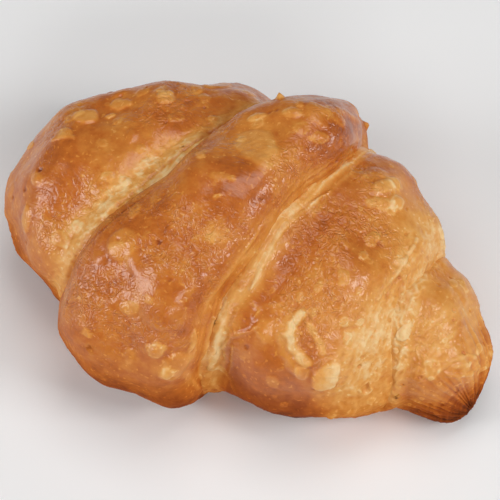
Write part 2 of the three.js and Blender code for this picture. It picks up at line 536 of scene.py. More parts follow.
@dataclass
class CrustRelief:
    """Shapes a plain wrap into a crust: swellings and blisters first, then crinkles and streaks."""

    crinkle_wave: float = 2.3
    crinkle_height: float = 0.26
    crinkle_length: float = 3.6
    crinkle_width: float = 1.5
    fine_wave: float = 1.2
    fine_height: float = 0.10
    warp_wave: float = 4.5
    crinkled_wave: float = 13.0
    swirl_wave: float = 17.0
    swelling_wave: float = 7.5
    swelling_height: float = 0.34
    pucker_wave: float = 3.6
    pucker_height: float = 0.16
    streak_wave: float = 0.9
    streak_length: float = 11.0
    streak_height: float = 0.48
    streak_paling: float = 0.44
    lace_wave: tuple[float, float, float] = (2.0, 3.6, 4.0)
    fine_lace_wave: tuple[float, float, float] = (1.1, 1.8, 4.0)
    slit_depth: float = 0.4
    slit_width: float = 0.45
    fill_reach: float = 3.6
    ridge_wave: float = 1.2
    ridge_height: float = 0.40
    spot_reach: float = 2.6
    spot_wobble: float = 0.38
    fine_wobble: float = 0.18
    fold_wobble: float = 0.35
    bubble_count: int = 60
    bubble_least: float = 0.5
    bubble_spread: float = 1.5
    bubble_lift: float = 0.17
    bubble_paling: float = 0.20
    pit_count: int = 22
    pit_size: float = 0.45
    pit_depth: float = 0.35
    # How dark the painted shade in the pits is.
    pit_shade: float = 0.15
    near_tray: float = 1.5
    rim_height: float = 24.0
    # How much darker it is towards the tray: partly the darker bake there, partly painted shade.
    rim_bake_and_shade: float = 0.30
    patch_wave: float = 15.0
    patch_browning: float = 0.09
    small_patch_wave: float = 4.0
    small_patch_browning: float = 0.06
    fleck_wave: float = 2.0
    fleck_browning: float = 0.04
    brushed_from: float = 0.34
    brushed_to: float = 0.72

    def spot_frame(self, wrap: Wrap, spot: Spot) -> tuple[Array, Array, Array]:
        """A spot's middle and its two directions in the crust.

        Args:
            wrap: The wrap that it is on.
            spot: The spot.

        Returns:
            The middle, the way of its along size, and the way of its around size.
        """
        share = np.array(spot.share)
        angle = math.radians(spot.angle)
        step = 0.02
        radius = wrap.radius_at(share)
        middle = wrap.point(share, radius, np.array(angle))
        slope = SPINE.at(middle[0])[1]
        along = np.array([1.0, float(slope), 0.0])
        along /= np.linalg.norm(along)
        around = wrap.point(share, radius, np.array(angle + step)) - middle
        around -= along * (around @ along)
        around /= np.linalg.norm(around)
        turn = math.radians(spot.turn)
        turned = along * math.cos(turn) + around * math.sin(turn)
        return middle, turned, around * math.cos(turn) - along * math.sin(turn)

    def nearness(self, points: Array, wrap: Wrap, spot: Spot) -> Array:
        """Distance from a spot's middle, 1 at its edge: the root of the sum of both ratios squared."""
        middle, along, _ = self.spot_frame(wrap, spot)
        offset = points - middle
        far_along = offset @ along
        rest = np.sqrt(np.maximum((offset ** 2).sum(-1) - far_along ** 2, 0.0))
        return np.hypot(far_along / spot.along, rest / spot.around)

    def spot_relief(self, spot: Spot, d: Array) -> tuple[Array, Array, Array]:
        """A spot's height, paling and smoothness at a distance d from its middle, 1 at its edge.

        Args:
            spot: The spot.
            d: The distance.

        Returns:
            The height in millimetres, the paling, and how smooth the skin is, from 0 to 1. Below 0 it is
            crinkled more.
        """
        if spot.kind is SpotKind.SWELL:
            return spot.lift * np.exp(-d * d), np.zeros_like(d), np.zeros_like(d)
        if spot.kind is SpotKind.PATCH:
            return np.zeros_like(d), spot.paling * np.exp(-d * d), np.zeros_like(d)
        if spot.kind is SpotKind.CRINKLED:
            return np.zeros_like(d), spot.paling * np.exp(-d * d), -np.exp(-d * d)
        if spot.kind is SpotKind.DISC:
            body = 1.0 - ease(0.72, 1.06, d)
            tint = 1.0 - ease(0.80, 1.0, d)
            top = 1.0 - 0.35 * np.minimum(d, 1.0) ** 2
            return 0.6 * spot.lift * body * top, spot.paling * tint, 0.6 * body
        if spot.kind is SpotKind.OPENING:
            rim = hump(d - 1.0, 0.22)
            floor = 1.0 - ease(0.5, 0.95, d)
            # The floor of the hole is darkened a little: painted shade in it. The raised rim is paler.
            return spot.lift * (rim - 1.2 * floor), spot.paling * (rim - 0.3 * floor), 0.6 * floor
        if spot.kind is SpotKind.FLAKE:
            cone = np.maximum(1.0 - d, 0.0)
            return spot.lift * cone, spot.paling * ease(0.0, 0.2, cone), cone
        body = np.maximum(1.0 - d * d, 0.0)
        skirt = 1.0 - ease(0.85, 1.05, d)
        rim = hump(d - 0.85, 0.2)
        return spot.lift * body ** 0.8, spot.paling * (0.6 * skirt + 0.5 * rim), 0.8 * skirt

    def swell(self, skin: Skin) -> None:
        """The broad relief that the CAD part has too: the lumps and the swellings."""
        points = skin.places
        height = LUMPS.at(points)
        for spot in skin.wrap.spots:
            if spot.kind is SpotKind.SWELL:
                height = height + self.spot_relief(spot, self.nearness(points, skin.wrap, spot))[0]
        skin.raise_by(height)

    def blister(self, skin: Skin, noise: Noise) -> None:
        """The named blisters, each with a wavering edge, many small chance ones, and the folds."""
        wrap = skin.wrap
        plain = wrap.point(skin.share, skin.radius, skin.angle)
        height = np.zeros(skin.share.shape)
        spots = [s for s in wrap.spots if s.kind is not SpotKind.SWELL]
        for number, spot in enumerate(spots + self.bubbles(wrap)):
            d = self.nearness(plain, wrap, spot)
            near = d < self.spot_reach
            if not near.any():
                continue
            size = max(min(spot.along, spot.around), 0.8)
            points = plain[near] + Part.NEXT_BLISTER * number
            wobble = self.spot_wobble * noise.at(points, 1.7 * size)
            wobble = wobble + self.fine_wobble * noise.at(points, 0.8 * size)
            rise, paling, smooth = self.spot_relief(spot, d[near] * (1.0 + wobble))
            height[near] += rise
            skin.browning_and_shade[near] -= paling
            skin.crinkle[near] = np.clip(skin.crinkle[near] - smooth, 0.0, 1.0)
        for fold in wrap.folds:
            wavering = 1.0 + self.fold_wobble * noise.at(plain + Part.FOLD_EDGE, 2.6)
            away = self.fold_distance(wrap, fold, plain) * wavering
            ridge = 1.0 - ease(0.3 * fold.width, 1.35 * fold.width, away)
            height += fold.lift * ridge * (1.0 + 0.4 * noise.at(plain + Part.FOLD_HEIGHT, 1.8))
            skin.browning_and_shade -= fold.paling * ridge
        skin.raise_by(height, self.near_tray)

    def bubbles(self, wrap: Wrap) -> list[Spot]:
        """Small blisters and pores by chance over the part of the wrap that shows."""
        chance = np.random.default_rng(wrap.seed)
        low, high = wrap.shown
        found = []
        for _ in range(self.bubble_count):
            size = self.bubble_least + self.bubble_spread * chance.random() ** 3
            found.append(Spot(
                share=chance.uniform(low + 0.03, high - 0.03), angle=chance.uniform(-10.0, 190.0),
                along=size * chance.uniform(0.8, 1.7), around=size, lift=self.bubble_lift * size,
                paling=self.bubble_paling * chance.random(), turn=chance.uniform(0.0, 180.0)))
        # Pits, each sunk and darkened by painted shade.
        for _ in range(self.pit_count):
            found.append(Spot(
                share=chance.uniform(low + 0.02, high - 0.02), angle=chance.uniform(0.0, 180.0),
                along=self.pit_size, around=self.pit_size, lift=-self.pit_depth,
                paling=-self.pit_shade))
        return found

    def fold_distance(self, wrap: Wrap, fold: Fold, points: Array) -> Array:
        """The distance from a fold's line, which is straight between its places."""
        path = np.array(fold.path)
        line = wrap.point(path[:, 0], wrap.radius_at(path[:, 0]), np.radians(path[:, 1]))
        nearest = np.full(points.shape[:-1], FAR_AWAY)
        for start, end in zip(line[:-1], line[1:]):
            way = end - start
            t = np.clip((points - start) @ way / (way @ way), 0.0, 1.0)
            nearest = np.minimum(nearest, np.linalg.norm(points - start - t[..., None] * way, axis=-1))
        return nearest

    def crinkle(self, skin: Skin, noise: Noise) -> None:
        """The glossy skin's crinkles, the seams, the lips, the tips and the colour's slow changes.

        The crinkles are worm-like ridges whose places are warped by slower noise, or ridges drawn out
        along the roll. A patchy mask lets them show.
        """
        p = skin.places
        warp = np.stack([noise.at(p + shift, self.warp_wave) for shift in (0, Part.WARP_Y, Part.WARP_Z)],
                        axis=-1)
        patchy = ease(-0.25, 0.55, noise.at(p + Part.CRINKLED, self.crinkled_wave))
        skin.crinkle = np.clip(patchy + skin.crinkle, 0.0, 1.0)
        skin.swirl = ease(-0.75, -0.05, noise.at(p + Part.SWIRL, self.swirl_wave))
        worms = noise.creases(p + 1.1 * warp, self.crinkle_wave)
        long_ways = noise.creases(
            p + 0.8 * warp, (self.crinkle_length, self.crinkle_width, self.crinkle_width))
        fine = noise.creases(p + 0.5 * warp + Part.FINE_CRINKLES, self.fine_wave)
        crease = skin.swirl * worms + (1.0 - skin.swirl) * long_ways
        height = self.crinkle_height * skin.crinkle * (crease - 0.5)
        height += self.fine_height * (0.3 + 0.7 * skin.crinkle) * (fine - 0.5)
        height += self.swelling_height * noise.at(p + Part.SWELLING, self.swelling_wave)
        height += self.pucker_height * noise.at(p + Part.PUCKER, self.pucker_wave)
        # Paler on the crinkles' ridges and darker between them: partly the skin's own tone, partly painted
        # highlight on the ridges and painted shade between them.
        skin.browning_and_shade = skin.browning_and_shade - 0.05 * skin.crinkle * (crease - 0.4)
        height = self.stretch(skin, noise, height)
        height = self.lips(skin, noise, height)
        height = self.tip_ridges(skin, noise, height)
        self.colour_patches(skin, noise)
        skin.raise_by(height, self.near_tray)
        skin.places[..., 2] = np.maximum(skin.places[..., 2], skin.wrap.base)

    def streaks(self, skin: Skin, noise: Noise, across: Array) -> tuple[Array, Array]:
        """Relief drawn out along a seam.

        Args:
            skin: The surface.
            noise: The wrap's noise.
            across: The way across the seam, in millimetres.

        Returns:
            Streaks of about -1 to 1 with waves of two sizes across the seam, and lace of 0 to 1.
        """
        wrap = skin.wrap
        around = skin.angle * (wrap.near + wrap.far + wrap.height) / 3.0
        place = np.stack([across, around, np.full_like(across, 5.0 * wrap.seed)], axis=-1)
        place[..., 0] += 0.8 * noise.at(skin.places + Part.STREAK_SWAY, 8.0)
        coarse = noise.at(place, (1.9 * self.streak_wave, 1.4 * self.streak_length, 4.0))
        fine = noise.at(place + Part.FINE_STREAKS, (self.streak_wave, self.streak_length, 4.0))
        place[..., 0] += 1.3 * noise.at(skin.places + Part.LACE_SWAY, 3.0)
        lace = 0.6 * noise.creases(place, self.lace_wave) + 0.4 * noise.creases(place, self.fine_lace_wave)
        return 0.6 * coarse + 0.6 * fine, lace

    def stretch(self, skin: Skin, noise: Noise, height: Array) -> Array:
        """Adds what lies past the lip of the wrap above: crease, pale band and valley, with painted shade
        in the crease and the valley.

        Args:
            skin: The surface, whose browning is changed.
            noise: The wrap's noise.
            height: The relief so far.

        Returns:
            The relief with the seam in it.
        """
        seam = skin.wrap.seam
        if seam is None:
            return height
        slow = noise.at(skin.places + Part.SEAM_EDGE, 7.0)
        degrees = np.degrees(skin.angle)
        here = 0.4 + 0.6 * hump(degrees - seam.middle, seam.spread)
        edge = skin.gap + 0.30 * seam.band * slow
        beside = here * (1.0 - ease(0.45 * seam.band, 1.35 * seam.band, edge)) * (1.0 + 0.25 * slow)
        lines, lace = self.streaks(skin, noise, skin.gap)
        texture = seam.lace * 1.3 * (lace - 0.5) + (1.0 - seam.lace) * lines
        opened = 1.0 - seam.slits + 1.6 * seam.slits * noise.at(skin.places + Part.SLITS, 5.0)
        crease = hump(skin.gap, self.slit_width) * np.clip(opened, 0.0, 1.3) * ease(0.0, 25.0, degrees)
        fill = seam.fill * (1.0 - ease(0.2, self.fill_reach, skin.gap)) * (1.0 + 0.25 * slow)
        fill = fill * (1.0 - 0.7 * ease(80.0, 120.0, degrees))
        valley = hump(skin.gap - seam.valley_at, seam.valley_width)
        valley = valley * ease(25.0, 55.0, degrees) * (1.0 - ease(85.0, 120.0, degrees))
        # Painted shade darkens the crease, its slits and the valley; the band is paler, as stretched dough
        # is.
        skin.browning_and_shade += (seam.crease * crease - beside * (seam.paling + self.streak_paling * texture)
                          + seam.valley_shade * valley)
        skin.crinkle *= 1.0 - 0.8 * np.clip(beside, 0.0, 1.0)
        streaks = self.streak_height * beside * texture
        return height + fill + streaks - seam.valley * valley - self.slit_depth * crease

    def lips(self, skin: Skin, noise: Noise, height: Array) -> Array:
        """Adds the streaks of the wrap's own lips, where its edge was drawn out over the next wrap.

        Args:
            skin: The surface, whose browning is changed.
            noise: The wrap's noise.
            height: The relief so far.

        Returns:
            The relief with the streaks in it.
        """
        wrap = skin.wrap
        lines, lace = self.streaks(skin, noise, skin.run)
        slow = 1.0 + 0.35 * noise.at(skin.places + Part.LIP_EDGE, 8.0)
        for side, lip in ((Side.LEFT, wrap.left_lip), (Side.RIGHT, wrap.right_lip)):
            here = (skin.share - wrap.crest) * side.value > 0
            own = here * (1.0 - ease(lip.inner, lip.outer, skin.radius)) * slow
            texture = lip.lace * 1.3 * (lace - 0.5) + (1.0 - lip.lace) * lines
            height = height + lip.streak * own * texture
            skin.browning_and_shade -= own * (lip.paling + 0.8 * lip.streak * texture)
            skin.crinkle *= 1.0 - 0.6 * np.clip(own, 0.0, 1.0)
        return height

    def tip_ridges(self, skin: Skin, noise: Noise, height: Array) -> Array:
        """Adds the ridges of rolled layers that run into a tip's end, and the end's darker bake.

        Args:
            skin: The surface, whose browning is changed.
            noise: The wrap's noise.
            height: The relief so far.

        Returns:
            The relief with the ridges in it.
        """
        wrap = skin.wrap
        if wrap.tip == 0.0:
            return height
        end = skin.share if wrap.tip > 0 else 1.0 - skin.share
        towards = ease(0.70, 0.95, end)
        low = 1.0 - ease(5.0, 17.0, skin.places[..., 2])
        around = skin.angle * 14.0
        place = np.stack([skin.places[..., 0], around, np.zeros_like(around)], axis=-1)
        ridges = noise.at(place, (12.0, self.ridge_wave, 4.0))
        ridges = ridges + 0.5 * noise.at(place + Part.SMALL_RIDGES, (9.0, 2.6, 4.0))
        skin.browning_and_shade += towards * (0.05 + 0.25 * low) - 0.15 * towards * ridges
        skin.crinkle *= 1.0 - 0.8 * towards
        return height + self.ridge_height * towards * ridges

    def colour_patches(self, skin: Skin, noise: Noise) -> None:
        """Slow darker and paler patches, and the darker, drier rim near the tray: partly bake, partly
        painted shade.
        """
        p = skin.places
        # Darker towards the tray: partly the real darker bake there, partly painted shade on the low
        # faces.
        rim = 1.0 - ease(1.0, self.rim_height, p[..., 2])
        small = noise.at(p + Part.SMALL_PATCHES, self.small_patch_wave)
        skin.browning_and_shade += (self.patch_browning * noise.layered(p + Part.PATCHES, self.patch_wave)
                          + self.small_patch_browning * small
                          + self.fleck_browning * noise.at(p, self.fleck_wave) + self.rim_bake_and_shade * rim)
        brushed = ease(self.brushed_from, self.brushed_to, p[..., 2] / skin.wrap.height)
        skin.glaze = brushed * (0.5 + 0.5 * ease(0.15, 0.45, skin.browning_and_shade))


def add_node(tree: bpy.types.NodeTree, kind: str, settings: dict[str, Any] | None = None,
             inputs: dict[Any, Any] | None = None) -> bpy.types.Node:
    """Adds a node, with its settings, its sockets' values and its links.

    Args:
        tree: The node tree.
        kind: The node's type name.
        settings: Properties of the node.
        inputs: For each input socket, by name or number, a value, or an output socket to link.

    Returns:
        The new node.
    """
    node = tree.nodes.new(kind)
    for name, value in (settings or {}).items():
        setattr(node, name, value)
    for name, value in (inputs or {}).items():
        if isinstance(value, bpy.types.NodeSocket):
            tree.links.new(value, node.inputs[name])
        else:
            node.inputs[name].default_value = value
    return node


def add_noise(tree: bpy.types.NodeTree, place: Socket, wave: float, detail: float) -> Socket:
    """Noise of 0 to 1 at places on the object, with a wave in millimetres."""
    return add_node(tree, "ShaderNodeTexNoise", inputs={
        "Vector": place, "Scale": 1.0 / (wave * MM), "Detail": detail}).outputs["Fac"]


def add_maths(tree: bpy.types.NodeTree, operation: str, *values: Socket | float) -> Socket:
    """The result of one maths step on sockets or numbers."""
    node = add_node(tree, "ShaderNodeMath", {"operation": operation}, dict(enumerate(values)))
    return node.outputs["Value"]


def add_range(tree: bpy.types.NodeTree, value: Socket, low: Socket | float, high: Socket | float,
              start: float = 0.0, end: float = 1.0) -> Socket:
    """A value that runs from start to end, made to run from low to high."""
    return add_node(tree, "ShaderNodeMapRange", inputs={
        "Value": value, "From Min": start, "From Max": end, "To Min": low,
        "To Max": high}).outputs["Result"]


@dataclass(frozen=True)
class BakedCrust:
    """Laminated wheat dough, brushed with egg and baked: a thin browned skin with a satin glaze.

    Its colour runs from cream through golden orange to dark brown as it browns. The glaze is a thin film
    that wrinkled as it dried, so its wrinkles break the soft highlights up, and painted shade darkens
    their hollows. Where the dough stretched, and near the tray, it is dry and duller. Waves are
    millimetres. The real film's finest wrinkles and the grain of the crumb under it are about 0.2 mm
    apart, and are drawn coarser so that they show at all.
    """

    cream: str = "#f6cf94"
    golden: str = "#eaa858"
    amber: str = "#da8a38"
    brown: str = "#c46a22"
    dark: str = "#9a4816"
    scorched: str = "#5a280d"
    stops: tuple[float, ...] = (0.0, 0.2, 0.4, 0.58, 0.78, 1.0)
    mottle_wave: float = 3.2
    mottle: float = 0.28
    speckle_wave: float = 1.1
    speckle: float = 0.16
    dust_wave: float = 0.9
    dust_paling: float = 0.16
    dust_from: float = 0.70
    dust_to: float = 0.80
    worm_wave: float = 2.0
    worm_distortion: float = 1.2
    long_wave: tuple[float, float, float] = (3.2, 1.2, 1.2)
    long_distortion: float = 0.6
    wrinkle_depth: float = 0.20
    # How dark the painted shade in the wrinkles' hollows is.
    wrinkle_hollow_shade: float = 0.04
    smooth_wrinkles: float = 0.18
    grain_wave: float = 0.5
    grain: float = 0.15
    dry_roughness: float = 0.85
    glazed_roughness: float = 0.34
    glaze_weight: float = 0.70
    glaze_roughness: float = 0.24
    glaze_ior: float = 1.60
    crust_ior: float = 1.20
    translucency: float = 0.10
    translucent_reach: float = 1.4
    translucent_tint: tuple[float, float, float] = (1.0, 0.45, 0.2)

    def material(self, name: str) -> bpy.types.Material:
        """The crust's material, read from the browning, glaze, crinkle and swirl attributes.

        The glaze is the coat. Its wrinkles are in the coat's own normal too, as they would not break up
        its highlights otherwise. The crust under it reflects little, so low faces stay warm.

        Args:
            name: The material's name.

        Returns:
            A new material.
        """
        made = bpy.data.materials.new(name)
        made.use_nodes = True
        tree = made.node_tree
        tree.nodes.clear()
        place = add_node(tree, "ShaderNodeTexCoord").outputs["Object"]
        browning_and_shade, glaze, crinkle, swirl = (
            add_node(tree, "ShaderNodeAttribute", {"attribute_name": layer}).outputs["Fac"]
            for layer in LAYERS)
        wrinkles = self.wrinkles(tree, place, swirl)
        normal = self.bump(tree, place, crinkle, wrinkles)
        skin = add_node(tree, "ShaderNodeBsdfPrincipled", inputs={
            "Base Color": self.colour(tree, place, browning_and_shade, crinkle, wrinkles),
            "Roughness": add_range(tree, glaze, self.dry_roughness, self.glazed_roughness),
            "Coat Weight": add_range(tree, glaze, 0.0, self.glaze_weight),
            "Normal": normal, "Coat Normal": normal, "IOR": self.crust_ior,
            "Subsurface Weight": self.translucency, "Subsurface Radius": self.translucent_tint,
            "Subsurface Scale": self.translucent_reach * MM, "Coat Roughness": self.glaze_roughness,
            "Coat IOR": self.glaze_ior})
        add_node(tree, "ShaderNodeOutputMaterial", inputs={"Surface": skin.outputs["BSDF"]})
        return made

    def wrinkles(self, tree: bpy.types.NodeTree, place: Socket, swirl: Socket) -> Socket:
        """The glaze's fine wrinkles: noise folded over at its middle, which is 0 on the ridges' lines.

        Args:
            tree: The node tree.
            place: Places on the object.
            swirl: How far the wrinkles are worm-like and don't run along the roll.

        Returns:
            How far below the ridges, up to about 1.
        """
        drawn = add_node(tree, "ShaderNodeVectorMath", {"operation": "MULTIPLY"}, {
            0: place, 1: tuple(1.0 / (wave * MM) for wave in self.long_wave)}).outputs["Vector"]
        folded = []
        for vector, scale, distortion in ((drawn, 1.0, self.long_distortion),
                                          (place, 1.0 / (self.worm_wave * MM), self.worm_distortion)):
            level = add_node(tree, "ShaderNodeTexNoise", inputs={
                "Vector": vector, "Scale": scale, "Detail": 1.0, "Distortion": distortion}).outputs["Fac"]
            folded.append(add_maths(tree, "ABSOLUTE", add_maths(tree, "MULTIPLY_ADD", level, 4.0, -2.0)))
        return add_range(tree, swirl, *folded)

    def bump(self, tree: bpy.types.NodeTree, place: Socket, crinkle: Socket, wrinkles: Socket) -> Socket:
        """The normal with the wrinkles, where the skin is crinkled, and a fine grain everywhere.

        Args:
            tree: The node tree.
            place: Places on the object.
            crinkle: How strongly the skin is crinkled.
            wrinkles: How far below the wrinkles' ridges.

        Returns:
            The normal.
        """
        strength = add_range(tree, crinkle, self.smooth_wrinkles, 1.0)
        raised = add_maths(tree, "MULTIPLY", wrinkles, strength)
        grain = add_noise(tree, place, self.grain_wave, 2.0)
        height = add_maths(tree, "MULTIPLY_ADD", grain, self.grain, raised)
        return add_node(tree, "ShaderNodeBump", {"invert": True}, {
            "Height": height, "Strength": 1.0, "Distance": self.wrinkle_depth * MM}).outputs["Normal"]

    def colour(self, tree: bpy.types.NodeTree, place: Socket, browning_and_shade: Socket, crinkle: Socket,
               wrinkles: Socket) -> Socket:
        """The crust's colour: how far it browned, with mottling, speckles and pale dust, and painted shade
        in the wrinkles' hollows.

        Args:
            tree: The node tree.
            place: Places on the object.
            browning_and_shade: How far the crust has browned, with painted shade added.
            crinkle: How strongly the skin is crinkled.
            wrinkles: How far below the wrinkles' ridges.

        Returns:
            The colour.
        """
        level = browning_and_shade
        for wave, amount in ((self.mottle_wave, self.mottle), (self.speckle_wave, self.speckle)):
            spread = add_noise(tree, place, wave, 2.0)
            shift = add_maths(tree, "MULTIPLY_ADD", spread, amount, -amount / 2)
            level = add_maths(tree, "ADD", level, shift)
        # Painted shade: darker in the wrinkles' hollows, where the skin is crinkled.
        hollow = add_maths(tree, "MULTIPLY", wrinkles, crinkle)
        level = add_maths(tree, "MULTIPLY_ADD", hollow, self.wrinkle_hollow_shade, level)
        dust = add_noise(tree, place, self.dust_wave, 0.0)
        paler = add_range(tree, dust, 0.0, -self.dust_paling, self.dust_from, self.dust_to)
        level = add_maths(tree, "ADD", level, paler)
        ramp = add_node(tree, "ShaderNodeValToRGB", inputs={"Fac": level})
        tones = (self.cream, self.golden, self.amber, self.brown, self.dark, self.scorched)
        while len(ramp.color_ramp.elements) < len(tones):
            ramp.color_ramp.elements.new(1.0)
        for element, position, tone in zip(ramp.color_ramp.elements, self.stops, tones):
            element.position = position
            element.color = linear(tone)
        return ramp.outputs["Color"]


def barrel_object(name: str, first: Array, grid: Array, last: Array) -> bpy.types.Object:
    """A closed barrel as a mesh object: a pole, rings of points, and a pole.

    Quads join each ring to the next and triangles close the poles. The piece's own map has a row for
    each ring and a column for each side.

    Args:
        name: The object's name.
        first: The left pole, in millimetres.
        grid: The rings' points, in millimetres.
        last: The right pole, in millimetres.

    Returns:
        The new object, at the origin.
    """
    rings, sides = grid.shape[:2]
    points = np.concatenate([first[None], grid.reshape(-1, 3), last[None]]) * MM
    end = len(points) - 1
    column = np.arange(sides)
    beyond = (column + 1) % sides
    row = 1 + sides * np.arange(rings - 1)[:, None]
    quads = np.stack([row + column, row + sides + column, row + sides + beyond, row + beyond], axis=-1)
    start = np.stack([np.zeros(sides, int), 1 + column, 1 + beyond], axis=-1)
    close = np.stack([np.full(sides, end), end - sides + beyond, end - sides + column], axis=-1)
    corners = np.concatenate([start.ravel(), quads.ravel(), close.ravel()]).astype(np.int32)
    totals = np.concatenate([np.full(sides, 3), np.full((rings - 1) * sides, 4), np.full(sides, 3)])
    starts = np.concatenate([[0], np.cumsum(totals)[:-1]])

    u, v = column / sides, (np.arange(rings) + 1) / (rings + 1)
    wide = 1.0 / sides
    u_row = np.broadcast_to(u, (rings - 1, sides))
    low, high = (np.broadcast_to(w[:, None], (rings - 1, sides)) for w in (v[:-1], v[1:]))
    quad_map = np.stack([np.stack([u_row, low], -1), np.stack([u_row, high], -1),
                         np.stack([u_row + wide, high], -1), np.stack([u_row + wide, low], -1)], axis=-2)
    tip_map = [np.stack([u + wide / 2, np.full(sides, edge)], -1) for edge in (0.0, 1.0)]
    start_map = np.stack([tip_map[0], np.stack([u, np.full(sides, v[0])], -1),
                          np.stack([u + wide, np.full(sides, v[0])], -1)], axis=-2)
    close_map = np.stack([tip_map[1], np.stack([u + wide, np.full(sides, v[-1])], -1),
                          np.stack([u, np.full(sides, v[-1])], -1)], axis=-2)
    flat_map = np.concatenate([m.reshape(-1, 2) for m in (start_map, quad_map, close_map)])

    mesh = bpy.data.meshes.new(name)
    mesh.vertices.add(len(points))
    mesh.vertices.foreach_set("co", points.astype(np.float32).ravel())
    mesh.loops.add(len(corners))
    mesh.loops.foreach_set("vertex_index", corners)
    mesh.polygons.add(len(totals))
    mesh.polygons.foreach_set("loop_start", starts.astype(np.int32))
    mesh.update(calc_edges=True)
    mesh.polygons.foreach_set("use_smooth", np.ones(len(totals), dtype=bool))
    mesh.uv_layers.new(name=BAKE_UV).data.foreach_set("uv", flat_map.astype(np.float32).ravel())
    mesh.validate()
    made = bpy.data.objects.new(name, mesh)
    bpy.context.collection.objects.link(made)
    return made


# The croissant.

